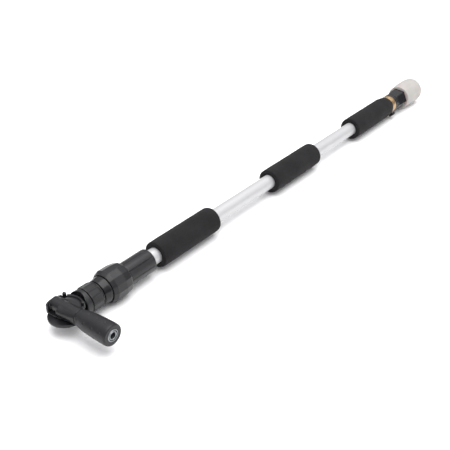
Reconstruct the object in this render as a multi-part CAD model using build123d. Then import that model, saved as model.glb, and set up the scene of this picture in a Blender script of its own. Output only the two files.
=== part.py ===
"""Telescoping boom pole with a twist lock, a swivelling side handle and a capped butt.

The parts are drawn in pole coordinates: +Y runs along the pole from head to butt, with Y = 0 at
the front face of the front foam grip; X = 0 and Z = 0 are the pole's axis; the handle points
along +X and +Z is up. All parts are then moved together so that the origin is the centre of the
underside of the whole pole's box. Everything is in millimetres.
"""

from build123d import *
import math
import os

# ---- tubes -------------------------------------------------------------------------------
TUBE_R = 12.5
TUBE_WALL = 1.2
TUBE_FRONT = -62.0
TUBE_REAR = 732.0
INNER_TUBE_R = 10.5
INNER_TUBE_WALL = 1.0
INNER_TUBE_FRONT = -131.0
INNER_TUBE_REAR = 640.0
RUNNING_GAP = 0.05

# ---- foam grips: front face, rear face ----------------------------------------------------
FOAM_R = 21.3
FOAM_EDGE = 2.4
FOAM_STATIONS = {"front": (0.0, 132.8), "middle": (292.1, 430.0), "rear": (570.1, 716.0)}
FOAM_TAPER_LENGTH = 17.0
FOAM_TAPER_DROP = 1.8

# ---- twist lock ---------------------------------------------------------------------------
SLEEVE_R = 18.5
SLEEVE_FRONT = -68.0
SLEEVE_REAR = -17.0
SLEEVE_GROOVES = 8
GROOVE_WIDTH = 1.5
GROOVE_DEPTH = 0.8
NOSE_R = 15.2
NOSE_FRONT = -82.0
COLLAR_SIDES = 14
COLLAR_FLAT_R = 25.2
COLLAR_FRONT = -107.5
COLLAR_REAR = -70.0
THREAD_GAP = 0.1

# ---- head socket and ring nut ---------------------------------------------------------------
NECK_REAR = -105.8
NECK_FRONT = -120.5
NECK_REAR_R = 20.6
NECK_FRONT_R = 19.1
SPIGOT_R = 16.5
SPIGOT_FRONT = -133.0
RING_NUT_SIDES = 12
RING_NUT_CORNER_R = 20.1
RING_NUT_TURN = 5.8
RING_NUT_REAR = -122.0
RING_NUT_FRONT = -143.4

# ---- knuckle --------------------------------------------------------------------------------
PIVOT_Y = -177.5
FLANGE_R = 19.6
FLANGE_REAR = -144.0
FLANGE_FRONT = -154.0
STEM_R = 14.0
BOWL_R = 25.0
BOWL_TOP = -1.8
BOWL_UNDERSIDE = -12.8
THRUST_GAP = 0.1
DISH_R = 26.4
DISH_INNER_R = 22.8
DISH_BOTTOM = -1.0
DISH_FLOOR = 9.2
DISH_TOP = 13.5
HUB_FLAT = 14.5
PEG_R = 2.8
PEG_CIRCLE_R = 24.2
PEG_ANGLES = (45, 139)
PEG_TOP = 17.6
PEG_SEAT = 7.6
SWING_CLEARANCE = 1.3
PIVOT_R = 4.0

# ---- handle ---------------------------------------------------------------------------------
HANDLE_Z = 7.5
ARM_R = 10.4
ARM_ROOT_R = 11.5
SKIRT_R = 14.4
SKIRT_START = -3.0
ARM_END = -21.6
GRIP_START = 28.6
GRIP_END = 89.9
GRIP_CORE_R = 7.5
INSERT_FLANGE_R = 8.9
INSERT_BODY_R = 6.4
THREAD_MINOR_R = 4.0
THREAD_DEPTH = 16.0
DIMPLE_ROWS = 6
DIMPLE_STATIONS = (34.5, 49.0, 64.0, 78.5)

# ---- butt end -------------------------------------------------------------------------------
BRASS_REAR = 733.0
SEAL_REAR = 739.0
HEX_FRONT = 739.4
HEX_REAR = 775.4
HEX_FRONT_R = 19.6
HEX_REAR_R = 21.6
HEX_TURN = 54.0
FERRULE_R = 14.0
NOZZLE_R = 13.0
NOZZLE_REAR = 812.0
CABLE_BORE_R = 6.5
CAP_FRONT = 776.0
CAP_REAR = 841.5
CAP_R = 25.41
CAP_MOUTH_R = 23.8
CAP_FLUTES = 12
CAP_FLUTE_DEPTH = 0.8
CAP_FLUTE_CURVE_R = 10.0

# a cylinder that stands on its base
STANDING = (Align.CENTER, Align.CENTER, Align.MIN)


def turned(profile, vertical=False):
    """A solid of revolution from (station, radius) points, along Y or, if vertical, along Z."""
    points = [(r, s) for s, r in profile]
    if vertical:
        return revolve(make_face(Plane.XZ * Polyline(*points, close=True)), Axis.Z)
    return revolve(make_face(Plane.XY * Polyline(*points, close=True)), Axis.Y)


def ring(start, end, outer_r, inner_r, edge=0.0):
    """A plain ring about the pole's axis, with its outer edges bevelled by edge."""
    profile = [(start, inner_r), (start, outer_r - edge), (start + edge, outer_r)]
    profile += [(end - edge, outer_r), (end, outer_r - edge), (end, inner_r)]
    if edge == 0.0:
        profile = [(start, inner_r), (start, outer_r), (end, outer_r), (end, inner_r)]
    return turned(profile)


def station(y):
    """The plane across the pole at y, whose own X is +X and own Y is +Z."""
    return Plane(origin=(0, y, 0), x_dir=(1, 0, 0), z_dir=(0, -1, 0))


def prism(sides, corner_r, start, end, turn=0.0):
    """A solid prism along the pole; turn lifts its first corner from +X towards +Z."""
    outline = RegularPolygon(corner_r, sides, rotation=turn)
    return extrude(station(end) * outline, amount=end - start)


def about_pole(degrees):
    """A turn about the pole's axis, from +X towards +Z."""
    return Rot(0, -degrees, 0)


def upright(shape):
    """Moves a part drawn about the origin's Z axis to the handle's pivot."""
    return Pos(0, PIVOT_Y, 0) * shape


def along_handle(shape):
    """Moves a part turned about the Y axis to the handle's axis, with +Y becoming +X."""
    return Pos(0, PIVOT_Y, HANDLE_Z) * Rot(0, 0, -90) * shape


# ---- tubes and grips ------------------------------------------------------------------------
def outer_tube():
    return ring(TUBE_FRONT, TUBE_REAR, TUBE_R, TUBE_R - TUBE_WALL)


def inner_tube():
    tube = ring(INNER_TUBE_FRONT, INNER_TUBE_REAR, INNER_TUBE_R, INNER_TUBE_R - INNER_TUBE_WALL)
    return tube - socket_pin()


def guide_bush():
    """Slides in the outer tube's bore and steadies the inner tube's rear end."""
    bore_r = TUBE_R - TUBE_WALL
    return ring(INNER_TUBE_REAR - 25, INNER_TUBE_REAR, bore_r - RUNNING_GAP, INNER_TUBE_R)


def inner_tube_plug():
    plug_r = INNER_TUBE_R - INNER_TUBE_WALL
    face = INNER_TUBE_REAR
    return turned([(face - 12, 0), (face - 12, plug_r), (face, plug_r), (face, plug_r + 1.2),
                   (face + 3, plug_r + 1.2), (face + 3, 0)])


def foam_grip(start, end, taper=0.0):
    """A closed-cell foam sleeve; taper is how much thinner its rear end is."""
    e = FOAM_EDGE
    profile = [(start, TUBE_R), (start, FOAM_R - e), (start + 0.3 * e, FOAM_R - 0.3 * e)]
    profile += [(start + e, FOAM_R)]
    if taper:
        profile += [(end - FOAM_TAPER_LENGTH, FOAM_R), (end - 0.5 * FOAM_TAPER_LENGTH, FOAM_R - 0.5)]
    else:
        profile += [(end - e, FOAM_R)]
    profile += [(end - 0.3 * e, FOAM_R - taper - 0.3 * e), (end, FOAM_R - taper - e), (end, TUBE_R)]
    return turned(profile)


# ---- twist lock -----------------------------------------------------------------------------
def lock_sleeve():
    """Grooved sleeve glued over the outer tube, with a threaded nose for the collar."""
    nose_bore = INNER_TUBE_R + 0.5
    body = turned([(NOSE_FRONT, nose_bore), (NOSE_FRONT, NOSE_R), (SLEEVE_FRONT, NOSE_R),
                   (SLEEVE_FRONT, SLEEVE_R - 0.6), (SLEEVE_FRONT + 0.6, SLEEVE_R),
                   (SLEEVE_REAR - 1.2, SLEEVE_R), (SLEEVE_REAR, SLEEVE_R - 1.2),
                   (SLEEVE_REAR, TUBE_R), (TUBE_FRONT, TUBE_R), (TUBE_FRONT, nose_bore)])
    length = SLEEVE_REAR - SLEEVE_FRONT
    cutter = Pos(SLEEVE_R, SLEEVE_FRONT + length / 2 + 3, 0) * Box(2 * GROOVE_DEPTH, length, GROOVE_WIDTH)
    for i in range(SLEEVE_GROOVES):
        body -= about_pole(i * 360 / SLEEVE_GROOVES) * cutter
    return body - ring(-76, -74, NOSE_R + 1, NOSE_R - 1.4)


def sleeve_o_ring():
    return ring(-75.9, -74.1, NOSE_R, NOSE_R - 1.4)


def lock_collet():
    """Split taper bush that the collar squeezes onto the inner tube."""
    front = -104.0
    rear = NOSE_FRONT - 0.2
    bush = turned([(front, INNER_TUBE_R + RUNNING_GAP), (front, 12.1), (rear, 14.9),
                   (rear, INNER_TUBE_R + RUNNING_GAP)])
    return bush - Pos(0, (front + rear) / 2, 10) * Box(1.5, 30, 20)


def lock_collar():
    """Faceted hand nut; a recess in its front face takes the head socket's skirt."""
    corner_r = COLLAR_FLAT_R / math.cos(math.pi / COLLAR_SIDES)
    envelope = turned([(COLLAR_REAR, 0), (COLLAR_REAR, 21.6), (COLLAR_REAR - 3.4, 23.6),
                       (COLLAR_REAR - 12, 25.3), (COLLAR_REAR - 14, corner_r + 0.2),
                       (COLLAR_FRONT + 6.6, corner_r + 0.2), (COLLAR_FRONT + 3.6, 25.0),
                       (COLLAR_FRONT + 1.0, 23.2), (COLLAR_FRONT, 22.2), (COLLAR_FRONT, 0)])
    collar = prism(COLLAR_SIDES, corner_r, COLLAR_FRONT, COLLAR_REAR) & envelope
    bore_r = NOSE_R + THREAD_GAP
    cavity = turned([(COLLAR_REAR + 1, 0), (COLLAR_REAR + 1, bore_r), (NOSE_FRONT, bore_r),
                     (-104.4, 12.4), (-104.4, INNER_TUBE_R + 0.4), (COLLAR_FRONT - 1, INNER_TUBE_R + 0.4),
                     (COLLAR_FRONT - 1, 0)])
    recess = ring(COLLAR_FRONT - 1, COLLAR_FRONT + 2.4, NECK_REAR_R + 0.5, 0)
    return collar - cavity - recess


# ---- head socket, ring nut and knuckle --------------------------------------------------------
def socket_pin():
    """Cross pin that holds the inner tube in the head socket."""
    return Pos(0, -127, 0) * Cylinder(1.5, 2 * SPIGOT_R - 0.6)


def head_socket():
    """Smooth tapered neck on the inner tube, with a threaded spigot for the ring nut."""
    body = turned([(NECK_REAR, INNER_TUBE_R), (NECK_REAR, NECK_REAR_R - 0.4),
                   (NECK_REAR - 0.8, NECK_REAR_R), (NECK_REAR - 3, NECK_REAR_R),
                   (NECK_FRONT + 0.8, NECK_FRONT_R), (NECK_FRONT, NECK_FRONT_R - 0.8),
                   (NECK_FRONT, SPIGOT_R), (SPIGOT_FRONT, SPIGOT_R), (SPIGOT_FRONT, 8.0),
                   (INNER_TUBE_FRONT, 8.0), (INNER_TUBE_FRONT, INNER_TUBE_R)])
    return body - socket_pin()


def ring_nut():
    """Twelve-sided nut that draws the knuckle's stem against the head socket."""
    lip = 2.2
    nut = prism(RING_NUT_SIDES, RING_NUT_CORNER_R, RING_NUT_FRONT, RING_NUT_REAR - lip, RING_NUT_TURN)
    nut &= ring(RING_NUT_FRONT, RING_NUT_REAR - lip, RING_NUT_CORNER_R, 0, 0.7)
    nut += ring(RING_NUT_REAR - lip, RING_NUT_REAR, 19.3, 0)
    bore = ring(-138.0, RING_NUT_REAR + 1, SPIGOT_R + THREAD_GAP, 0)
    mouth = ring(RING_NUT_FRONT - 1, -138.0, STEM_R + 0.3, 0)
    return nut - bore - mouth


def roll_washer():
    return ring(-133.5, -133.05, 15.8, 9.0)


def stem_ring():
    """Keeps the stem in the ring nut; it is screwed to the stem's tail."""
    return ring(-137.6, -133.6, 16.0, 12.0)


def knuckle_body():
    """Stem, flange and shallow bowl that carries the handle's pivot."""
    tail = ring(FLANGE_REAR, -137.6, STEM_R, 6.0) + ring(-137.6, -133.6, 12.0, 6.0)
    flange = turned([(FLANGE_FRONT, 0), (FLANGE_FRONT, FLANGE_R - 1), (FLANGE_FRONT + 1, FLANGE_R),
                     (-150.2, FLANGE_R), (-149.8, FLANGE_R - 0.5), (-149.4, FLANGE_R),
                     (-147.2, FLANGE_R), (-146.8, FLANGE_R - 0.5), (-146.4, FLANGE_R),
                     (FLANGE_REAR - 0.6, FLANGE_R), (FLANGE_REAR, FLANGE_R - 0.6), (FLANGE_REAR, 0)])
    flange -= upright(Pos(0, 0, BOWL_TOP) * Cylinder(DISH_R + SWING_CLEARANCE, 30, align=STANDING))
    stem = turned([(FLANGE_FRONT + 1, 0), (FLANGE_FRONT + 1, 16.0), (PIVOT_Y + 12, 9.6),
                   (PIVOT_Y + 7, 8.0), (PIVOT_Y + 7, 0)])
    stem -= Pos(0, PIVOT_Y, BOWL_TOP) * Cylinder(40, 40, align=STANDING)
    bowl = turned([(BOWL_TOP, 0), (BOWL_TOP, 22.6), (BOWL_TOP - 0.4, 22.9), (BOWL_TOP, 23.2),
                   (BOWL_TOP, BOWL_R - 0.5), (BOWL_TOP - 0.5, BOWL_R), (-3.0, BOWL_R), (-3.3, BOWL_R - 0.4),
                   (-3.6, BOWL_R), (-4.4, BOWL_R), (-4.7, BOWL_R - 0.4), (-5.0, BOWL_R - 0.1),
                   (-5.8, BOWL_R - 0.6), (-6.8, BOWL_R - 2.2), (-9.2, BOWL_R - 7.6), (-11.4, BOWL_R - 13.2),
                   (BOWL_UNDERSIDE, BOWL_R - 17.0), (BOWL_UNDERSIDE, 0)], vertical=True)
    body = tail + flange + stem + upright(bowl)
    counterbore = Pos(0, 0, BOWL_UNDERSIDE - 2) * Cylinder(7.6, 6.0, align=STANDING)
    body -= upright(counterbore)
    body -= upright(Cylinder(PIVOT_R + RUNNING_GAP, 60))
    return body


def thrust_washer():
    top = DISH_BOTTOM - THRUST_GAP
    return upright(turned([(BOWL_TOP, 4.4), (BOWL_TOP, 12.0), (top, 12.0), (top, 4.4)], vertical=True))


def spring_washer():
    seat = BOWL_UNDERSIDE + 4.0
    return upright(turned([(seat - 0.7, 4.4), (seat - 0.7, 7.2), (seat, 7.2), (seat, 4.4)], vertical=True))


def pivot_bolt():
    """Shoulder screw that comes up through the bowl and turns with the handle."""
    foot = BOWL_UNDERSIDE
    head = foot + 3.2
    screw = turned([(foot, 0), (foot, 6.4), (foot + 0.5, 6.9), (head, 6.9), (head, PIVOT_R),
                    (13.5, PIVOT_R), (13.5, 0)], vertical=True)
    socket = Pos(0, 0, foot) * extrude(RegularPolygon(2.9, 6), amount=2.2)
    return upright(screw - socket)


def pivot_nut():
    """Hexagonal nut moulded into the arm."""
    nut = Pos(0, 0, 7.4) * extrude(RegularPolygon(7.4, 6), amount=6.1)
    return upright(nut - Cylinder(PIVOT_R, 60))


# ---- handle -----------------------------------------------------------------------------------
def peg_places():
    """Where the pegs stand on the hub's rim."""
    for angle in PEG_ANGLES:
        yield Rot(0, 0, angle) * Pos(PEG_CIRCLE_R, 0, 0)


def rim_pegs():
    """Domed pegs that stand in notches in the hub's rim."""
    peg = turned([(PEG_SEAT, 0), (PEG_SEAT, PEG_R), (PEG_TOP - 2.0, PEG_R), (PEG_TOP - 0.9, PEG_R - 0.5),
                  (PEG_TOP - 0.2, PEG_R - 1.5), (PEG_TOP, 0)], vertical=True)
    return [upright(place * peg) for place in peg_places()]


def hub():
    """Drum that turns on the bowl: dished on top, cut off flat in front and hollow underneath."""
    drum = turned([(DISH_BOTTOM, 0), (DISH_BOTTOM, DISH_R - 0.5), (DISH_BOTTOM + 0.5, DISH_R),
                   (DISH_TOP - 0.9, DISH_R), (DISH_TOP, DISH_R - 0.9), (DISH_TOP, DISH_INNER_R + 0.6),
                   (DISH_TOP - 0.6, DISH_INNER_R), (DISH_FLOOR + 1.6, DISH_INNER_R - 0.8),
                   (DISH_FLOOR + 0.4, DISH_INNER_R - 2.6), (DISH_FLOOR, DISH_INNER_R - 5.0),
                   (DISH_FLOOR, 0)], vertical=True)
    drum -= Pos(0, -HUB_FLAT - 20, 0) * Box(80, 40, 80)
    drum -= Pos(11.0, -HUB_FLAT, DISH_BOTTOM + 1.8) * Box(58, 21, 30, align=STANDING)
    under = turned([(DISH_BOTTOM - 1, 14.0), (DISH_BOTTOM - 1, 23.4), (DISH_FLOOR - 3.2, 23.4),
                    (DISH_FLOOR - 3.2, 14.0)], vertical=True)
    drum -= under & (Pos(0, 1.0 + 30, 0) * Box(80, 60, 80))
    notch = Pos(0, 0, 10.6) * Cylinder(PEG_R + 0.9, 10, align=STANDING)
    seat = Pos(0, 0, PEG_SEAT) * Cylinder(PEG_R, 12, align=STANDING)
    for place in peg_places():
        drum -= place * notch
        drum -= place * seat
    drum -= Pos(-20.3, -HUB_FLAT, 6.2) * Rot(90, 0, 0) * Cylinder(1.1, 5.0)
    return drum


def bar():
    """The round bar across the hub, with a skirt that widens its lower front."""
    level = Pos(0, 0, HANDLE_Z) * Rot(0, 0, -90)
    rod = level * turned([(ARM_END, 0), (ARM_END, ARM_R), (4.0, ARM_R), (GRIP_START, ARM_ROOT_R), (GRIP_START, 0)])
    length = GRIP_START - ARM_END + 10
    plan = Pos(ARM_END + length / 2, 0) * RectangleRounded(length, 2 * ARM_ROOT_R + 0.2, 8.5)
    rod &= Pos(0, 0, -30) * extrude(plan, amount=60)
    skirt = level * turned([(SKIRT_START, 0), (SKIRT_START, SKIRT_R), (GRIP_START, ARM_ROOT_R + 0.1), (GRIP_START, 0)])
    skirt &= Pos(GRIP_START / 2, -20, HANDLE_Z - 20) * Box(80, 40, 40)
    rod += skirt
    return rod - Pos(0, 0, DISH_BOTTOM - 40) * Cylinder(DISH_R + 0.8, 40, align=STANDING)


def handle_arm():
    """The hub, its bar and the core that carries the rubber grip, moulded in one."""
    core_length = GRIP_END - 4 - GRIP_START
    core = Pos(GRIP_START + core_length / 2, 0, HANDLE_Z) * Rot(0, 90, 0) * Cylinder(GRIP_CORE_R, core_length)
    arm = upright(hub() + bar() + core)
    nut_seat = upright(Pos(0, 0, 7.4) * extrude(RegularPolygon(7.4, 6), amount=6.1))
    arm = arm - nut_seat - upright(Pos(0, 0, -5) * Cylinder(PIVOT_R, 14.0, align=STANDING))
    pocket_depth = THREAD_DEPTH + 3.0
    pocket = turned([(GRIP_END - pocket_depth, 0), (GRIP_END - pocket_depth, INSERT_BODY_R),
                     (GRIP_END, INSERT_BODY_R), (GRIP_END, 0)])
    return arm - along_handle(pocket)


def dimples():
    """The rows of small round hollows pressed into the grip."""
    for row in range(DIMPLE_ROWS):
        for y in DIMPLE_STATIONS:
            r = grip_radius(y) + 1.1
            yield Rot(0, row * 360 / DIMPLE_ROWS, 0) * Pos(0, y, r) * Sphere(2.0)


GRIP_PROFILE = [(GRIP_START, 11.6), (32.0, 12.0), (37.0, 13.2), (43.0, 14.3), (52.0, 15.1),
                (64.0, 15.8), (78.0, 16.2), (86.6, 16.3), (88.8, 15.8), (GRIP_END, 14.6)]


def grip_radius(y):
    """The grip's outer radius at a distance y from the pivot."""
    for (y0, r0), (y1, r1) in zip(GRIP_PROFILE, GRIP_PROFILE[1:]):
        if y0 <= y <= y1:
            return r0 + (r1 - r0) * (y - y0) / (y1 - y0)
    raise ValueError(y)


def hand_grip():
    """Rubber grip moulded over the arm's core; the thread insert's flange sits in its end."""
    seat = GRIP_END - 1.4
    core_end = GRIP_END - 4
    profile = GRIP_PROFILE + [(GRIP_END, INSERT_FLANGE_R), (seat, INSERT_FLANGE_R)]
    profile += [(seat, INSERT_BODY_R), (core_end, INSERT_BODY_R), (core_end, GRIP_CORE_R)]
    profile += [(GRIP_START, GRIP_CORE_R)]
    grip = turned(profile)
    for hollow in dimples():
        grip -= hollow
    return along_handle(grip)


def thread_insert():
    """Steel bush with a blind threaded bore, drawn at the thread's minor radius."""
    seat = GRIP_END - 1.4
    mouth = GRIP_END + 0.5
    back = GRIP_END - THREAD_DEPTH - 3.0
    bottom = mouth - THREAD_DEPTH
    return along_handle(turned([
        (back, 0), (back, INSERT_BODY_R), (seat, INSERT_BODY_R), (seat, INSERT_FLANGE_R),
        (mouth - 0.8, INSERT_FLANGE_R), (mouth, INSERT_FLANGE_R - 0.8), (mouth, THREAD_MINOR_R + 1.0),
        (mouth - 1.0, THREAD_MINOR_R), (bottom, THREAD_MINOR_R), (bottom - 1.6, 0)]))


# ---- butt end -----------------------------------------------------------------------------------
def lug_ring():
    """Thin ring behind the rear grip with a small lanyard lug on its underside."""
    front = FOAM_STATIONS["rear"][1]
    body = ring(front, front + 2.4, 18.7, TUBE_R)
    lug = Pos(22.0, front + 5.4, 0) * Box(5.6, 10.8, 9.0)
    lug += Pos(20.6, front + 1.2, 0) * Box(8.4, 2.4, 9.0)
    lug -= Pos(22.4, front + 6.4, 0) * Cylinder(1.3, 20)
    return body + about_pole(-45) * lug


def brass_ring():
    front = FOAM_STATIONS["rear"][1] + 2.4
    return turned([(front, TUBE_R), (front, 18.2), (front + 0.5, 18.6), (front + 7, 18.5),
                   (BRASS_REAR - 1.2, 17.9), (BRASS_REAR, 17.2), (BRASS_REAR, TUBE_R)])


def seal_ring():
    return ring(BRASS_REAR, SEAL_REAR, 18.1, TUBE_R, 1.0)


def butt_ferrule():
    """Plug in the tube's end, thread for the hexagonal nut and nozzle for the cap."""
    plug_r = TUBE_R - TUBE_WALL
    body = turned([(696, CABLE_BORE_R), (696, plug_r - 0.8), (698, plug_r), (TUBE_REAR, plug_r),
                   (TUBE_REAR, TUBE_R), (SEAL_REAR, TUBE_R), (SEAL_REAR, FERRULE_R),
                   (HEX_REAR + 0.6, FERRULE_R), (HEX_REAR + 0.6, NOZZLE_R), (NOZZLE_REAR - 1.0, NOZZLE_R),
                   (NOZZLE_REAR, NOZZLE_R - 1.0), (NOZZLE_REAR, CABLE_BORE_R)])
    return body - ring(797.9, 801.1, NOZZLE_R + 1, NOZZLE_R - 1.6)


def nozzle_o_ring():
    return ring(798, 801, NOZZLE_R - 0.02, NOZZLE_R - 1.6)


def hex_nut():
    """Flared hexagonal nut with a coned lead towards the black seal."""
    lead = HEX_FRONT + 5.0
    front = station(lead) * RegularPolygon(HEX_FRONT_R, 6, rotation=HEX_TURN)
    rear = station(HEX_REAR) * RegularPolygon(HEX_REAR_R, 6, rotation=HEX_TURN)
    nut = loft([front, rear])
    nut += turned([(HEX_FRONT, 0), (HEX_FRONT, 17.3), (lead + 0.5, 17.6), (lead + 0.5, 0)])
    nut &= turned([(HEX_FRONT, 0), (HEX_FRONT, 17.3), (lead, 18.2), (lead + 3, HEX_FRONT_R + 0.3),
                   (HEX_REAR - 1.2, HEX_REAR_R), (HEX_REAR, HEX_REAR_R - 1.2), (HEX_REAR, 0)])
    return nut - ring(HEX_FRONT - 1, HEX_REAR + 1, FERRULE_R + THREAD_GAP, 0)


def butt_cap():
    """Soft closed cap: a thick fluted wall round a socket that grips the nozzle."""
    skin = turned([(CAP_FRONT, 0), (CAP_FRONT, CAP_MOUTH_R - 0.9), (CAP_FRONT + 0.9, CAP_MOUTH_R),
                   (CAP_FRONT + 14, CAP_R - 0.3), (CAP_FRONT + 24, CAP_R), (CAP_REAR - 8, CAP_R),
                   (CAP_REAR - 4.5, CAP_R - 0.9), (CAP_REAR - 2.0, CAP_R - 3.0),
                   (CAP_REAR - 0.5, CAP_R - 6.0), (CAP_REAR, CAP_R - 9.0), (CAP_REAR, 0)])
    reach = CAP_R - CAP_FLUTE_DEPTH + CAP_FLUTE_CURVE_R
    flute = Pos(reach, CAP_REAR, 0) * Rot(90, 0, 0) * Cylinder(CAP_FLUTE_CURVE_R, 2 * (CAP_REAR - CAP_FRONT) + 4)
    for i in range(CAP_FLUTES):
        skin -= about_pole(i * 360 / CAP_FLUTES + 90) * flute
    return skin - ring(CAP_FRONT - 1, CAP_REAR - 3.0, NOZZLE_R + RUNNING_GAP, 0)


def build_parts():
    """Every node's shape, in pole coordinates; a node of several solids is a list."""
    parts = {
        "outer_tube": outer_tube(),
        "inner_tube": inner_tube(),
        "guide_bush": guide_bush(),
        "inner_tube_plug": inner_tube_plug(),
        "lock_sleeve": lock_sleeve(),
        "sleeve_o_ring": sleeve_o_ring(),
        "lock_collet": lock_collet(),
        "lock_collar": lock_collar(),
        "head_socket": head_socket(),
        "socket_pin": socket_pin(),
        "ring_nut": ring_nut(),
        "roll_washer": roll_washer(),
        "stem_ring": stem_ring(),
        "knuckle_body": knuckle_body(),
        "thrust_washer": thrust_washer(),
        "spring_washer": spring_washer(),
        "pivot_bolt": pivot_bolt(),
        "pivot_nut": pivot_nut(),
        "handle_arm": handle_arm(),
        "rim_pegs": rim_pegs(),
        "hand_grip": hand_grip(),
        "thread_insert": thread_insert(),
        "lug_ring": lug_ring(),
        "brass_ring": brass_ring(),
        "seal_ring": seal_ring(),
        "butt_ferrule": butt_ferrule(),
        "nozzle_o_ring": nozzle_o_ring(),
        "hex_nut": hex_nut(),
        "butt_cap": butt_cap(),
    }
    for name, (start, end) in FOAM_STATIONS.items():
        taper = FOAM_TAPER_DROP if name == "rear" else 0.0
        parts["foam_grip_" + name] = foam_grip(start, end, taper)
    return parts


def as_compound(shape):
    return Compound(children=shape) if isinstance(shape, list) else shape


def main():
    os.makedirs("parts", exist_ok=True)
    parts = {name: as_compound(shape) for name, shape in build_parts().items()}
    boxes = [shape.bounding_box() for shape in parts.values()]
    low = [min(getattr(b.min, a) for b in boxes) for a in "XYZ"]
    high = [max(getattr(b.max, a) for b in boxes) for a in "XYZ"]
    origin = ((low[0] + high[0]) / 2, (low[1] + high[1]) / 2, low[2])
    shift = Pos(-origin[0], -origin[1], -origin[2])
    for name, shape in parts.items():
        export_step(shift * shape, "parts/" + name + ".step")
    print("origin in pole coordinates:", [round(v, 4) for v in origin])
    print("size:", [round(h - l, 3) for l, h in zip(low, high)])


main()
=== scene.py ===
"""Boom pole with foam grips, a twist lock, a swivelling side handle and a capped butt.

The turned pieces are drawn as profiles of (station, radius) points in millimetres and spun.
Stations on the pole are measured from the front face of the front foam grip, those on the
handle from its pivot, and those on upright pieces from the height of the pole's axis.
"""

import math
import bmesh
import bpy
from mathutils import Matrix, Vector, noise


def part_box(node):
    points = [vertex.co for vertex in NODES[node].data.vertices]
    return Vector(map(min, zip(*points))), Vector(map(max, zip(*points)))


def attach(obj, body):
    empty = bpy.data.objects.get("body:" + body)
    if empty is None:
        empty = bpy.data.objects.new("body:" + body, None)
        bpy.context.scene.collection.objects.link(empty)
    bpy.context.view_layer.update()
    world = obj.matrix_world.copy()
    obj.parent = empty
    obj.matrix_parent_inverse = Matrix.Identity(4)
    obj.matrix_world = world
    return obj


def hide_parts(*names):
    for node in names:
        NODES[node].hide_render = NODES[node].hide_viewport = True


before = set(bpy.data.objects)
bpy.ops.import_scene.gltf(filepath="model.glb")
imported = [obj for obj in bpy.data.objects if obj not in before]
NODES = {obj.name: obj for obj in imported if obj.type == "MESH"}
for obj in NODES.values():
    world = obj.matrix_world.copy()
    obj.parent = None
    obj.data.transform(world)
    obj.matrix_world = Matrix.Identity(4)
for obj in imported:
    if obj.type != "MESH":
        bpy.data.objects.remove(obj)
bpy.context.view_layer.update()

MM = 0.001


def middle(node):
    low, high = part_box(node)
    return (Vector(low) + Vector(high)) / 2


POLE_AXIS = middle("outer_tube")
GRIP_FACE_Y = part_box("foam_grip_front")[0][1]
PIVOT = middle("pivot_bolt")
HANDLE_AXIS = middle("hand_grip")
ON_POLE = Matrix.Translation((POLE_AXIS.x, GRIP_FACE_Y, POLE_AXIS.z))
ON_HANDLE = Matrix.Translation((PIVOT.x, PIVOT.y, HANDLE_AXIS.z)) @ Matrix.Rotation(math.radians(-90), 4, "Z")
UPRIGHT = Matrix.Translation((PIVOT.x, PIVOT.y, POLE_AXIS.z)) @ Matrix.Rotation(math.radians(90), 4, "X")
IN_PLACE = Matrix.Identity(4)


# ---- camera, floor and light ---------------------------------------------------------------------
def set_up_studio():
    camera = bpy.data.objects.new("camera", bpy.data.cameras.new("camera"))
    camera.data.lens = 62.4
    camera.data.sensor_width = 36.0
    camera.location = ON_POLE @ Vector((0.6782, -0.6984, 0.6479))
    look = Vector((-0.5248, 0.6711, -0.5236))
    camera.rotation_euler = look.to_track_quat("-Z", "Y").to_euler()
    bpy.context.scene.collection.objects.link(camera)
    bpy.context.scene.camera = camera

    bm = bmesh.new()
    bmesh.ops.create_circle(bm, cap_ends=True, segments=96, radius=9.0)
    floor = link_mesh(bm, "floor")
    floor.data.materials.append(floor_paint())

    add_softbox("overhead", 2.6, 2.6, 62.0, (0.25, -0.10, 2.4))
    add_softbox("side_strip", 0.5, 2.4, 6.0, (1.9, 0.9, 1.1))
    bpy.context.scene.world = studio_air()
    bpy.context.scene.view_settings.view_transform = "Standard"


def add_softbox(name, width, length, watts, spot):
    """A rectangular area light at spot that faces the middle of the floor."""
    light = bpy.data.lights.new(name, "AREA")
    light.shape = "RECTANGLE"
    light.size = width
    light.size_y = length
    light.energy = watts
    lamp = bpy.data.objects.new(name, light)
    lamp.location = spot
    lamp.rotation_euler = (-Vector(spot)).to_track_quat("-Z", "Y").to_euler()
    bpy.context.scene.collection.objects.link(lamp)


def studio_air():
    """A soft dome of light, dim at wall height and bright overhead, seen as a plain white wall."""
    world = bpy.data.worlds.new("studio_air")
    world.use_nodes = True
    tree = world.node_tree
    sky = tree.nodes["Background"]
    sky.inputs["Color"].default_value = (0.985, 0.98, 1.0, 1.0)
    direction = tree.nodes.new("ShaderNodeTexCoord")
    parts = tree.nodes.new("ShaderNodeSeparateXYZ")
    height = tree.nodes.new("ShaderNodeMapRange")
    height.inputs["From Min"].default_value = 0.05
    height.inputs["From Max"].default_value = 0.95
    height.inputs["To Min"].default_value = 0.16
    height.inputs["To Max"].default_value = 1.55
    tree.links.new(direction.outputs["Generated"], parts.inputs[0])
    tree.links.new(parts.outputs["Z"], height.inputs["Value"])
    rays = tree.nodes.new("ShaderNodeLightPath")
    shown = tree.nodes.new("ShaderNodeMix")
    shown.inputs["B"].default_value = 1.0
    tree.links.new(rays.outputs["Is Camera Ray"], shown.inputs["Factor"])
    tree.links.new(height.outputs[0], shown.inputs["A"])
    tree.links.new(shown.outputs["Result"], sky.inputs["Strength"])
    return world


def floor_paint():
    paint = bpy.data.materials.new("white_floor")
    paint.use_nodes = True
    shader = paint.node_tree.nodes["Principled BSDF"]
    shader.inputs["Base Color"].default_value = (0.95, 0.95, 0.95, 1.0)
    shader.inputs["Roughness"].default_value = 0.9
    shader.inputs["Specular IOR Level"].default_value = 0.1
    return paint


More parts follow.
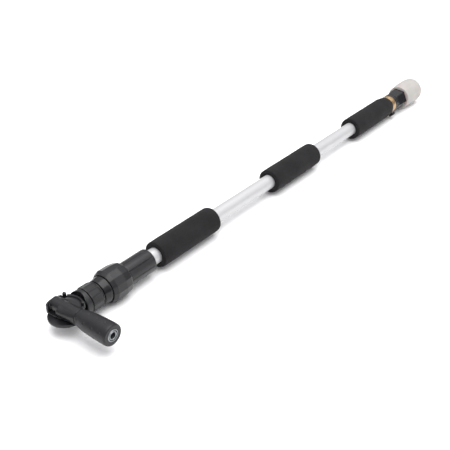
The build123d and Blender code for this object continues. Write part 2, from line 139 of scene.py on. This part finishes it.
# ---- making meshes -------------------------------------------------------------------------------
def link_mesh(bm, name):
    mesh = bpy.data.meshes.new(name)
    bm.to_mesh(mesh)
    bm.free()
    piece = bpy.data.objects.new(name, mesh)
    bpy.context.scene.collection.objects.link(piece)
    return piece


def lathe(profile, steps=96, closed=True):
    """Spins (station, radius) points about Y; a profile that starts and ends on the axis isn't closed."""
    bm = bmesh.new()
    corners = [bm.verts.new((radius * MM, station * MM, 0)) for station, radius in profile]
    runs = [bm.edges.new(pair) for pair in zip(corners, corners[1:])]
    if closed:
        runs.append(bm.edges.new((corners[-1], corners[0])))
    bmesh.ops.spin(bm, geom=corners + runs, cent=(0, 0, 0), axis=(0, 1, 0), dvec=(0, 0, 0),
                   angle=2 * math.pi, steps=steps, use_merge=True, use_duplicate=False)
    bmesh.ops.remove_doubles(bm, verts=bm.verts, dist=1e-6)
    bmesh.ops.recalc_face_normals(bm, faces=bm.faces)
    return bm


def soften(bm, width, corner=28, segments=2):
    """Rounds every edge that turns by more than corner degrees."""
    turn = math.radians(corner)
    sharp = [e for e in bm.edges if len(e.link_faces) == 2 and e.calc_face_angle(0) > turn]
    bmesh.ops.bevel(bm, geom=sharp, offset=width * MM, offset_type="OFFSET", segments=segments,
                    profile=0.5, affect="EDGES", clamp_overlap=True, material=-1)


def reshape_radius(bm, beyond, change):
    """Scales each point's radius, where it is over beyond, by change(angle, station, radius)."""
    for v in bm.verts:
        radius = math.hypot(v.co.x, v.co.z)
        if radius > beyond * MM:
            scale = change(math.atan2(v.co.z, v.co.x), v.co.y / MM, radius / MM)
            v.co.x *= scale
            v.co.z *= scale


def flats(sides, first_corner):
    """A change of radius that draws a round wall in to flats; first_corner is in degrees."""
    half = math.pi / sides

    def change(angle, station, radius):
        across = (angle - math.radians(first_corner)) % (2 * half) - half
        return math.cos(half) / math.cos(across)
    return change


def rounded_by(bm, name, levels):
    """Runs a subdivision surface over a cage and gives the result as a new bmesh."""
    cage = link_mesh(bm, name)
    surface = cage.modifiers.new("surface", "SUBSURF")
    surface.levels = levels
    surface.render_levels = levels
    return baked(cage)


def baked(rough):
    """The object's mesh with its modifiers applied, as a bmesh; the object is removed."""
    bpy.context.view_layer.update()
    seen = rough.evaluated_get(bpy.context.evaluated_depsgraph_get())
    bm = bmesh.new()
    bm.from_mesh(seen.to_mesh())
    seen.to_mesh_clear()
    mesh = rough.data
    bpy.data.objects.remove(rough)
    bpy.data.meshes.remove(mesh)
    return bm


def moulded_copy(node, grain, passes):
    """A copy of a CAD node with its edges melted round, as a moulding tool leaves them."""
    bm = bmesh.new()
    bm.from_mesh(NODES[node].data)
    bmesh.ops.remove_doubles(bm, verts=bm.verts, dist=1e-6)
    rough = link_mesh(bm, node + "_rough")
    skin = rough.modifiers.new("skin", "REMESH")
    skin.mode = "VOXEL"
    skin.voxel_size = grain * MM
    skin.adaptivity = 0.0
    bm = baked(rough)
    melt(bm, passes)
    return bm


def melt(bm, passes):
    for _ in range(passes):
        bmesh.ops.smooth_vert(bm, verts=bm.verts, factor=0.5, use_axis_x=True, use_axis_y=True,
                              use_axis_z=True)


def make_piece(bm, name, body, paint, replaced, place=IN_PLACE, smooth_up_to=35):
    """Links a finished mesh, which rides on body and stands for the replaced CAD nodes."""
    bm.transform(place)
    piece = link_mesh(bm, name)
    piece.data.shade_smooth()
    piece.data.set_sharp_from_angle(angle=math.radians(smooth_up_to))
    piece.data.materials.append(paint)
    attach(piece, body)
    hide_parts(*replaced)
    return piece


# ---- shared surface effects ----------------------------------------------------------------------
def new_group(name, inputs, outputs):
    tree = bpy.data.node_groups.new(name, "ShaderNodeTree")
    for label, kind, value in inputs:
        socket = tree.interface.new_socket(label, in_out="INPUT", socket_type=kind)
        if value is not None:
            socket.default_value = value
    for label, kind in outputs:
        tree.interface.new_socket(label, in_out="OUTPUT", socket_type=kind)
    return tree, tree.nodes.new("NodeGroupInput"), tree.nodes.new("NodeGroupOutput")


def add_node(tree, kind, links=None, **settings):
    """Adds a node; links maps an input's name or number to a value or to another node's socket."""
    made = tree.nodes.new(kind)
    for key, value in settings.items():
        setattr(made, key, value)
    for key, value in (links or {}).items():
        if isinstance(value, bpy.types.NodeSocket):
            tree.links.new(value, made.inputs[key])
        else:
            made.inputs[key].default_value = value
    return made


def grain_group():
    """Fine moulded or cellular grain: height for a bump, and a speckle mask."""
    tree, given, out = new_group(
        "surface_grain",
        [("Vector", "NodeSocketVector", None), ("Size", "NodeSocketFloat", 1500.0),
         ("Cells", "NodeSocketFloat", 0.0)],
        [("Height", "NodeSocketFloat"), ("Speckle", "NodeSocketFloat")])
    where, size = given.outputs["Vector"], given.outputs["Size"]
    fine = add_node(tree, "ShaderNodeTexNoise", {"Vector": where, "Scale": size, "Detail": 4.0,
                                                 "Roughness": 0.6})
    cells = add_node(tree, "ShaderNodeTexVoronoi", {"Vector": where, "Scale": size})
    mixed = add_node(tree, "ShaderNodeMix", {0: given.outputs["Cells"], 2: fine.outputs["Fac"],
                                             3: cells.outputs["Distance"]})
    tree.links.new(mixed.outputs[0], out.inputs["Height"])
    speckle = add_node(tree, "ShaderNodeMapRange", {0: mixed.outputs[0], 1: 0.25, 2: 0.75})
    tree.links.new(speckle.outputs[0], out.inputs["Speckle"])
    return tree


def handling_group():
    """Broad, faint patches from handling: rubs and dust."""
    tree, given, out = new_group(
        "handling_marks",
        [("Vector", "NodeSocketVector", None), ("Size", "NodeSocketFloat", 40.0)],
        [("Rubs", "NodeSocketFloat"), ("Dust", "NodeSocketFloat")])
    where, size = given.outputs["Vector"], given.outputs["Size"]
    broad = add_node(tree, "ShaderNodeTexNoise", {"Vector": where, "Scale": size, "Detail": 5.0,
                                                  "Roughness": 0.55})
    rubs = add_node(tree, "ShaderNodeMapRange", {0: broad.outputs["Fac"], 1: 0.38, 2: 0.68})
    fine = add_node(tree, "ShaderNodeTexNoise", {"Vector": where, "Scale": 900.0, "Detail": 2.0})
    flecks = add_node(tree, "ShaderNodeMapRange", {0: fine.outputs["Fac"], 1: 0.62, 2: 0.75})
    tree.links.new(rubs.outputs[0], out.inputs["Rubs"])
    tree.links.new(flecks.outputs[0], out.inputs["Dust"])
    return tree


def drawn_group():
    """Fine lines left by drawing or turning: the vector is squeezed along the lines beforehand."""
    tree, given, out = new_group(
        "drawn_lines",
        [("Vector", "NodeSocketVector", None), ("Size", "NodeSocketFloat", 900.0)],
        [("Height", "NodeSocketFloat"), ("Streaks", "NodeSocketFloat")])
    where, size = given.outputs["Vector"], given.outputs["Size"]
    fine = add_node(tree, "ShaderNodeTexNoise", {"Vector": where, "Scale": size, "Detail": 6.0,
                                                 "Roughness": 0.7})
    coarser = add_node(tree, "ShaderNodeMath", {0: size, 1: 0.22}, operation="MULTIPLY")
    wide = add_node(tree, "ShaderNodeTexNoise", {"Vector": where, "Scale": coarser.outputs[0], "Detail": 3.0})
    streaks = add_node(tree, "ShaderNodeMapRange", {0: wide.outputs["Fac"], 1: 0.3, 2: 0.7})
    tree.links.new(fine.outputs["Fac"], out.inputs["Height"])
    tree.links.new(streaks.outputs[0], out.inputs["Streaks"])
    return tree


GRAIN = grain_group()
HANDLING = handling_group()
DRAWN = drawn_group()


def finish(name, low, high, rough, bump, grain_size=1500.0, cells=0.0, squeeze=(1, 1, 1), lines=False,
           patch_size=40.0, dust=None, **shader_values):
    """A material whose colour goes from low to high and whose roughness varies, with a fine bump.

    rough is the roughness at low and at high; bump is its strength and its height in millimetres.
    """
    paint = bpy.data.materials.new(name)
    paint.use_nodes = True
    tree = paint.node_tree
    shader = tree.nodes["Principled BSDF"]
    place = add_node(tree, "ShaderNodeTexCoord").outputs["Object"]
    squeezed = add_node(tree, "ShaderNodeMapping", {"Vector": place, "Scale": squeeze}).outputs["Vector"]
    marks = add_node(tree, "ShaderNodeGroup", {}, node_tree=HANDLING)
    tree.links.new(place, marks.inputs["Vector"])
    marks.inputs["Size"].default_value = patch_size
    texture = add_node(tree, "ShaderNodeGroup", {}, node_tree=DRAWN if lines else GRAIN)
    tree.links.new(squeezed, texture.inputs["Vector"])
    texture.inputs["Size"].default_value = grain_size
    if not lines:
        texture.inputs["Cells"].default_value = cells
    pattern = texture.outputs["Streaks" if lines else "Speckle"]
    share = add_node(tree, "ShaderNodeMath", {0: pattern, 1: 0.6}, operation="MULTIPLY")
    blend = add_node(tree, "ShaderNodeMath", {0: marks.outputs["Rubs"], 1: 0.4, 2: share.outputs[0]},
                     operation="MULTIPLY_ADD")
    colour = add_node(tree, "ShaderNodeMix", {0: blend.outputs[0], 6: (*low, 1.0), 7: (*high, 1.0)},
                      data_type="RGBA")
    shown = colour.outputs[2]
    if dust:
        fleck = add_node(tree, "ShaderNodeMath", {0: marks.outputs["Dust"], 1: 0.5}, operation="MULTIPLY")
        dusty = add_node(tree, "ShaderNodeMix", {0: fleck.outputs[0], 6: shown, 7: (*dust, 1.0)},
                         data_type="RGBA")
        shown = dusty.outputs[2]
    tree.links.new(shown, shader.inputs["Base Color"])
    roughness = add_node(tree, "ShaderNodeMapRange", {0: blend.outputs[0], 1: 0.0, 2: 1.0, 3: rough[0],
                                                      4: rough[1]})
    tree.links.new(roughness.outputs[0], shader.inputs["Roughness"])
    relief = add_node(tree, "ShaderNodeBump", {"Height": texture.outputs["Height"], "Strength": bump[0],
                                               "Distance": bump[1] * MM})
    tree.links.new(relief.outputs["Normal"], shader.inputs["Normal"])
    for socket, value in shader_values.items():
        shader.inputs[socket.replace("_", " ")].default_value = value
    return paint


ALONG_POLE = (1.0, 0.02, 1.0)
ROUND_POLE = (0.02, 1.0, 0.02)
ROUND_HANDLE = (1.0, 0.02, 0.02)

FOAM = finish("closed_cell_foam", (0.010, 0.0095, 0.010), (0.021, 0.020, 0.021), (0.97, 0.86), (0.6, 0.5),
              grain_size=1050.0, cells=0.55, patch_size=28.0, dust=(0.045, 0.044, 0.046), Sheen_Weight=0.04,
              Sheen_Roughness=0.5, Specular_IOR_Level=0.1)
TUBE_SKIN = finish("satin_tube", (0.47, 0.47, 0.475), (0.52, 0.52, 0.525), (0.40, 0.30), (0.06, 0.03),
                   grain_size=260.0, squeeze=ALONG_POLE, lines=True, Metallic=0.35)
MATTE_PLASTIC = finish("moulded_black", (0.005, 0.005, 0.0062), (0.011, 0.011, 0.0125), (0.38, 0.27),
                       (0.14, 0.07), grain_size=2400.0, patch_size=60.0, dust=(0.035, 0.035, 0.038),
                       Specular_IOR_Level=0.38)
GLOSS_PLASTIC = finish("polished_black", (0.004, 0.004, 0.005), (0.009, 0.009, 0.010), (0.24, 0.15),
                       (0.04, 0.03), grain_size=1200.0, patch_size=50.0, Specular_IOR_Level=0.32)
GRIP_RUBBER = finish("grip_rubber", (0.008, 0.008, 0.0095), (0.016, 0.016, 0.018), (0.46, 0.34), (0.2, 0.08),
                     grain_size=1900.0, cells=0.2, patch_size=55.0, dust=(0.04, 0.04, 0.043),
                     Specular_IOR_Level=0.3)
SEAL_RUBBER = finish("seal_rubber", (0.010, 0.010, 0.010), (0.022, 0.022, 0.023), (0.6, 0.5), (0.15, 0.06))
TURNED_BRASS = finish("turned_brass", (0.38, 0.24, 0.115), (0.54, 0.37, 0.20), (0.34, 0.24), (0.22, 0.05),
                      grain_size=2200.0, squeeze=ROUND_POLE, lines=True, Metallic=1.0)
BRIGHT_STEEL = finish("bright_steel", (0.20, 0.215, 0.225), (0.34, 0.355, 0.365), (0.34, 0.24), (0.15, 0.04),
                      grain_size=1800.0, squeeze=ROUND_HANDLE, lines=True, Metallic=1.0)
# Near-black steel for the bush's bore and face groove: painted shade in these recesses.
RECESS_SHADE_STEEL = finish("painted_shade_steel", (0.012, 0.013, 0.014), (0.035, 0.036, 0.038), (0.45, 0.35), (0.1, 0.04),
                      squeeze=ROUND_HANDLE, lines=True, Metallic=0.8)
WHITE_ACETAL = finish("white_acetal", (0.70, 0.69, 0.65), (0.82, 0.81, 0.78), (0.45, 0.35), (0.08, 0.04),
                      Subsurface_Weight=0.1, Subsurface_Scale=0.002)
FROSTED = finish("frosted_cap", (0.42, 0.40, 0.375), (0.53, 0.51, 0.485), (0.58, 0.44), (0.12, 0.06),
                 grain_size=1400.0, patch_size=45.0, Transmission_Weight=0.2, Subsurface_Weight=0.25,
                 Subsurface_Scale=0.004, Specular_IOR_Level=0.35)


# ---- foam grips ----------------------------------------------------------------------------------
def foam_sleeve(name, rear_drop):
    """A soft sleeve with pillowy ends; rear_drop is how much thinner its rear end is."""
    low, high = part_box(name)
    start = (low[1] - GRIP_FACE_Y) / MM
    end = (high[1] - GRIP_FACE_Y) / MM
    wall = 21.35
    profile = [(start + 0.5, 12.6), (start, 13.2), (start, 19.0), (start + 0.5, 20.7), (start + 2.2, wall)]
    bays = 9
    for bay in range(1, bays):
        profile.append((start + bay * (end - start) / bays, wall + 0.12 * (-1) ** bay))
    profile += [(end - 14, wall - 0.2 * rear_drop), (end - 2.4, wall - 0.8 * rear_drop)]
    profile += [(end - 0.6, wall - rear_drop - 0.8), (end, wall - rear_drop - 2.6), (end, 13.2),
                (end - 0.5, 12.6)]
    bm = rounded_by(lathe(profile, 32), name + "_cage", 2)
    for v in bm.verts:
        outward = Vector((v.co.x, 0, v.co.z))
        if outward.length > 17 * MM:
            dent = 0.16 * noise.noise(v.co * 55) + 0.07 * noise.noise(v.co * 240)
            v.co += outward.normalized() * dent * MM
    piece = make_piece(bm, name + "_foam", "pole", FOAM, [name], ON_POLE, 60)


# ---- twist lock ----------------------------------------------------------------------------------
def grooved_sleeve():
    """Straight sleeve with shallow grooves that stop short of its plain rear band."""
    front, rear, wall, nose = -68.0, -17.0, 18.5, 15.2
    profile = [(-82.0, 11.2), (-82.0, nose), (front, nose), (front, wall)]
    profile += [(station, wall) for station in (-66.0, -65.4, -48.0, -30.0, -21.4, -20.6, rear)]
    profile += [(rear, 12.55), (-62.0, 12.55), (-62.0, 11.2)]
    bm = lathe(profile, 320)
    soften(bm, 0.5, segments=3)
    grooves, half_width, depth, band = 8, 0.85, 0.9, -21.0

    def change(angle, station, radius):
        spacing = 2 * math.pi / grooves
        across = abs((angle + spacing / 2) % spacing - spacing / 2) * wall
        if station > band or station < front + 0.2 or across > half_width:
            return 1.0
        return 1 - depth * (1 - (across / half_width) ** 4) / wall
    reshape_radius(bm, 17.5, change)
    make_piece(bm, "grooved_sleeve", "pole", MATTE_PLASTIC, ["lock_sleeve"], ON_POLE)


def faceted_collar():
    """Hand nut with flat panels, coned at its front round the recess that takes the neck."""
    corner, sides, cone_end = 25.85, 14, -106.0
    profile = [(-70.0, 15.4), (-70.0, 21.6), (-71.0, 23.2), (-73.0, 24.2), (-84.0, corner - 0.1),
               (-101.4, corner), (-107.5, 22.2), (-107.5, 21.2), (-105.1, 21.1), (-105.1, 11.0),
               (-104.4, 11.0), (-104.4, 12.4), (-82.0, 15.3)]
    bm = lathe(profile, sides * 6)
    fold = flats(sides, 0.0)

    def change(angle, station, radius):
        return fold(angle, station, radius) if station > cone_end else 1.0
    reshape_radius(bm, 21.3, change)
    soften(bm, 0.42, 17, 2)
    make_piece(bm, "twist_collar", "collar", MATTE_PLASTIC, ["lock_collar"], ON_POLE, 6)


# ---- head ----------------------------------------------------------------------------------------
def socket_neck():
    """Polished waist between the collar and the ring nut, with the spigot that the nut turns on."""
    profile = [(-105.8, 10.55), (-105.8, 20.4), (-106.3, 20.6), (-109.4, 20.6), (-112.5, 20.2),
               (-116.0, 19.3), (-119.9, 19.1), (-120.5, 18.6), (-120.5, 16.5), (-133.0, 16.4),
               (-133.0, 8.0), (-131.0, 8.0), (-131.0, 10.55)]
    bm = lathe(profile, 128)
    soften(bm, 0.4, 28, 3)
    make_piece(bm, "socket_neck", "extension", GLOSS_PLASTIC, ["head_socket"], ON_POLE)


def twelve_sided_nut():
    """Nut with shallow panels between raised corner ribs, behind a plain round lip."""
    corner, sides, first_rib, lip = 20.3, 12, 5.8, -124.2
    profile = [(-122.0, 16.7), (-122.0, 18.7), (-122.6, 19.3), (-124.0, 19.3), (-124.3, 19.5),
               (-126.0, 20.0), (-142.0, corner), (-142.9, corner - 0.2), (-143.4, 19.2), (-143.4, 14.4),
               (-138.0, 14.4), (-138.0, 16.7)]
    bm = lathe(profile, sides * 20)
    fold = flats(sides, first_rib)
    pitch = 2 * math.pi / sides
    rib_reach, groove_reach, rib_rise, groove_fall = 0.06, 0.13, 0.010, 0.016

    def change(angle, station, radius):
        if station > lip:
            return 1.0
        flat = fold(angle, station, radius)
        from_rib = abs((angle - math.radians(first_rib) + pitch / 2) % pitch - pitch / 2) / pitch
        if from_rib < rib_reach:
            return flat + rib_rise
        return flat - groove_fall if from_rib < groove_reach and station > -142.5 else flat
    reshape_radius(bm, 18.9, change)
    soften(bm, 0.12, 24, 2)
    make_piece(bm, "twelve_sided_nut", "head_nut", MATTE_PLASTIC, ["ring_nut"], ON_POLE, 8)


def knuckle():
    """Scooped flange and round bowl, as cast."""
    bm = moulded_copy("knuckle_body", 0.42, 3)
    make_piece(bm, "knuckle_casting", "knuckle", MATTE_PLASTIC, ["knuckle_body"], IN_PLACE,
               50)


# ---- handle --------------------------------------------------------------------------------------
ARM_FLARE = 4.0
SKIRT_START = -3.0
GRIP_START = 28.6


def flank_radius(station, below):
    """Radius of the arm's front at an angle below level, in degrees: the bar swells in to its skirt."""
    bar = 10.4 + 1.1 * max(0.0, station - ARM_FLARE) / (GRIP_START - ARM_FLARE)
    skirt = 14.4 - 2.8 * (station - SKIRT_START) / (GRIP_START - SKIRT_START)
    fairing = 58.0
    share = min(1.0, max(0.0, 1 + below / fairing))
    return bar + (skirt - bar) * share * share * (3 - 2 * share)


def arm():
    """The hub and its bar, with the bar's front faired in to the skirt below it."""
    bm = moulded_copy("handle_arm", 0.45, 2)
    washer_cover, pocket_back = 13.4, 4.5
    for v in bm.verts:
        station = (v.co.x - PIVOT.x) / MM
        ahead = (PIVOT.y - v.co.y) / MM
        drop = (HANDLE_AXIS.z - v.co.z) / MM
        if not (SKIRT_START - 0.4 < station < GRIP_START + 0.1 and ahead > pocket_back):
            continue
        radius = math.hypot(ahead, drop)
        below = math.degrees(math.atan2(drop, ahead))
        wanted = flank_radius(max(SKIRT_START, station), below)
        if below < 0 and radius > 9.5:
            v.co.y = PIVOT.y - ahead * wanted / radius * MM
            v.co.z = HANDLE_AXIS.z - drop * wanted / radius * MM
        elif below >= 0:
            over_washer = math.sqrt(max(0.0, washer_cover ** 2 - station ** 2))
            reach = max(math.sqrt(wanted ** 2 - drop ** 2), over_washer)
            v.co.y = PIVOT.y - min(ahead, reach) * MM
    melt(bm, 3)
    make_piece(bm, "dished_arm", "handle", MATTE_PLASTIC, ["handle_arm"], IN_PLACE, 60)


def pegs():
    """Two domed pegs in the rim's notches."""
    whole = bmesh.new()
    seat, reach = 7.6, 24.2 * MM
    profile = [(seat, 0), (seat, 2.8), (14.6, 2.8), (15.8, 2.75), (16.9, 2.2), (17.5, 1.2), (17.6, 0)]
    for swing in (45, 139):
        peg = lathe(profile, 40, closed=False)
        soften(peg, 0.25, 20, 2)
        turn = math.radians(swing)
        peg.transform(UPRIGHT @ Matrix.Translation((reach * math.cos(turn), 0, -reach * math.sin(turn))))
        held = bpy.data.meshes.new("peg")
        peg.to_mesh(held)
        peg.free()
        whole.from_mesh(held)
        bpy.data.meshes.remove(held)
    make_piece(whole, "rim_peg_set", "handle", MATTE_PLASTIC, ["rim_pegs"])


def dimpled_grip():
    """Swelling rubber grip with rows of pressed dimples and a flat, rimmed end."""
    profile = [(GRIP_START, 7.6), (GRIP_START, 10.9), (28.9, 11.5), (30.5, 11.9), (33.0, 12.3), (38.0, 13.5),
               (44.0, 14.5), (53.0, 15.25), (64.0, 15.8), (76.0, 16.15), (84.0, 16.3), (87.6, 16.2),
               (89.3, 15.5), (89.9, 14.4), (89.9, 13.6), (89.9, 9.1), (89.7, 8.92), (88.6, 8.9),
               (88.5, 8.8), (88.5, 6.5), (85.9, 6.45), (85.9, 7.6)]
    bm = rounded_by(lathe(profile, 24), "grip_cage", 3)
    rows, stations, reach, depth = 6, (34.5, 49.0, 64.0, 78.5), 1.75, 1.0
    for v in bm.verts:
        radius = math.hypot(v.co.x, v.co.z) / MM
        station = v.co.y / MM
        if radius < 11.2 or station > 88:
            continue
        angle = math.atan2(v.co.z, v.co.x) - math.radians(90)
        spacing = 2 * math.pi / rows
        across = ((angle + spacing / 2) % spacing - spacing / 2) * radius
        for centre in stations:
            away = math.hypot(across, station - centre)
            if away < 1.5 * reach:
                press = depth * max(0.0, 1 - (away / reach) ** 2) ** 0.7
                lip = 0.10 * math.exp(-((away - 1.12 * reach) / 0.35) ** 2)
                change = 1 + (lip - press) / radius
                v.co.x *= change
                v.co.z *= change
    make_piece(bm, "dimpled_grip", "handle", GRIP_RUBBER, ["hand_grip"], ON_HANDLE, 60)


def threaded_bush():
    """Bright flanged bush; its face groove and its bore, with its thread ridges, are painted dark as shade.
    """
    mouth, minor, pitch = 90.4, 4.0, 1.5875
    groove = mouth - 0.9
    profile = [(70.9, 0), (70.9, 6.35), (88.5, 6.35), (88.5, 8.85), (mouth - 0.5, 8.85), (mouth, 8.4),
               (mouth, 7.6), (groove, 7.2), (groove, 6.4), (mouth - 0.1, 6.0), (mouth - 0.1, 5.4),
               (groove, 4.7)]
    ridge = mouth - 1.5
    while ridge > mouth - 15:
        profile += [(ridge + 0.15, minor), (ridge - 0.15, minor), (ridge - pitch / 2, minor + 0.55)]
        ridge -= pitch
    profile += [(mouth - 16.0, minor), (mouth - 17.6, 0)]
    bm = lathe(profile, 72, closed=False)
    soften(bm, 0.1, 40, 2)
    # Faces in the bore and in the face groove take the near-black steel: painted shade, not a real finish.
    for face in bm.faces:
        centre = face.calc_center_median()
        radius = math.hypot(centre.x, centre.z) / MM
        station = centre.y / MM
        in_thread = radius < 4.8 and station > 72
        in_groove = 6.3 < radius < 7.5 and station > mouth - 1.0
        if in_thread or in_groove:
            face.material_index = 1
    piece = make_piece(bm, "threaded_bush", "handle", BRIGHT_STEEL, ["thread_insert"], ON_HANDLE)
    piece.data.materials.append(RECESS_SHADE_STEEL)


# ---- butt end ------------------------------------------------------------------------------------
def brass_collar():
    """Turned ring with one thin groove round it."""
    profile = [(718.4, 12.55), (718.4, 18.2), (718.9, 18.6), (723.6, 18.5), (724.0, 18.2), (724.5, 18.2),
               (724.9, 18.5), (731.8, 18.0), (733.0, 17.3), (733.0, 12.55)]
    bm = lathe(profile, 128)
    soften(bm, 0.15, 24, 2)
    make_piece(bm, "brass_collar", "pole", TURNED_BRASS, ["brass_ring"], ON_POLE)


def black_washer():
    """Plain washer with its outer edges chamfered."""
    profile = [(733.0, 12.55), (733.0, 17.4), (733.8, 18.2), (738.2, 18.2), (739.0, 17.4), (739.0, 12.55)]
    bm = lathe(profile, 96)
    soften(bm, 0.25, 24, 2)
    make_piece(bm, "black_washer", "pole", MATTE_PLASTIC, ["seal_ring"], ON_POLE)


def flared_hex_nut():
    """Hexagonal nut that flares towards the cap, coned round at its front."""
    front, rear, sides = 739.4, 775.4, 6
    profile = [(front, 14.15), (front, 17.2), (front + 3.6, 18.3), (front + 6.0, 19.8), (front + 8.5, 20.1),
               (rear - 1.2, 21.5), (rear, 20.6), (rear, 14.15)]
    bm = lathe(profile, sides * 12)
    fold = flats(sides, 54.0)
    cone_length = 5.0

    def change(angle, station, radius):
        return fold(angle, station, radius) if station > front + cone_length else 1.0
    reshape_radius(bm, 19.0, change)
    soften(bm, 0.35, 30, 2)
    make_piece(bm, "flared_hex_nut", "butt_nut", GLOSS_PLASTIC, ["hex_nut"], ON_POLE, 8)


def frosted_cap():
    """Thick soft cap whose flutes fade out towards its mouth."""
    mouth, end, flutes = 776.0, 841.5, 12
    profile = [(end - 3.0, 0), (end - 3.0, 13.06), (mouth + 1.2, 13.06), (mouth, 14.0), (mouth, 22.9),
               (mouth + 0.9, 23.8), (mouth + 8, 24.6), (mouth + 18, 25.4), (mouth + 28, 25.8),
               (end - 16, 25.8), (end - 8, 25.5), (end - 4.5, 24.7), (end - 2.0, 22.8), (end - 0.6, 19.6),
               (end, 15.6), (end, 8.0), (end, 0)]
    bm = lathe(profile, 240, closed=False)
    soften(bm, 0.4, 30, 2)
    plain, run_in, depth = 10, 14, 0.024

    def change(angle, station, radius):
        hollow = 0.5 + 0.5 * math.cos(flutes * (angle - math.pi / 2))
        fade = min(1.0, max(0.0, (station - mouth - plain) / run_in))
        return 1 - depth * fade * hollow ** 2
    reshape_radius(bm, 15.2, change)
    make_piece(bm, "frosted_cap", "cap", FROSTED, ["butt_cap"], ON_POLE, 40)


def lanyard_ring():
    """Thin ring with a pierced lug below it."""
    bm = moulded_copy("lug_ring", 0.35, 2)
    make_piece(bm, "lanyard_ring", "pole", MATTE_PLASTIC, ["lug_ring"], IN_PLACE, 50)


# ---- CAD nodes that keep their shape -------------------------------------------------------------
KEPT = {
    "outer_tube": TUBE_SKIN, "inner_tube": TUBE_SKIN, "guide_bush": WHITE_ACETAL,
    "inner_tube_plug": MATTE_PLASTIC, "sleeve_o_ring": SEAL_RUBBER, "lock_collet": WHITE_ACETAL,
    "socket_pin": BRIGHT_STEEL, "roll_washer": BRIGHT_STEEL, "stem_ring": BRIGHT_STEEL,
    "thrust_washer": WHITE_ACETAL, "spring_washer": BRIGHT_STEEL, "pivot_bolt": BRIGHT_STEEL,
    "pivot_nut": TURNED_BRASS, "butt_ferrule": MATTE_PLASTIC, "nozzle_o_ring": SEAL_RUBBER,
}


def paint_kept_nodes():
    for name, paint in KEPT.items():
        slots = NODES[name].material_slots
        if not slots:
            NODES[name].data.materials.append(paint)
        for place in slots:
            place.material = paint


set_up_studio()
foam_sleeve("foam_grip_front", 0.0)
foam_sleeve("foam_grip_middle", 0.0)
foam_sleeve("foam_grip_rear", 1.8)
grooved_sleeve()
faceted_collar()
socket_neck()
twelve_sided_nut()
knuckle()
arm()
pegs()
dimpled_grip()
threaded_bush()
brass_collar()
black_washer()
flared_hex_nut()
frosted_cap()
lanyard_ring()
paint_kept_nodes()
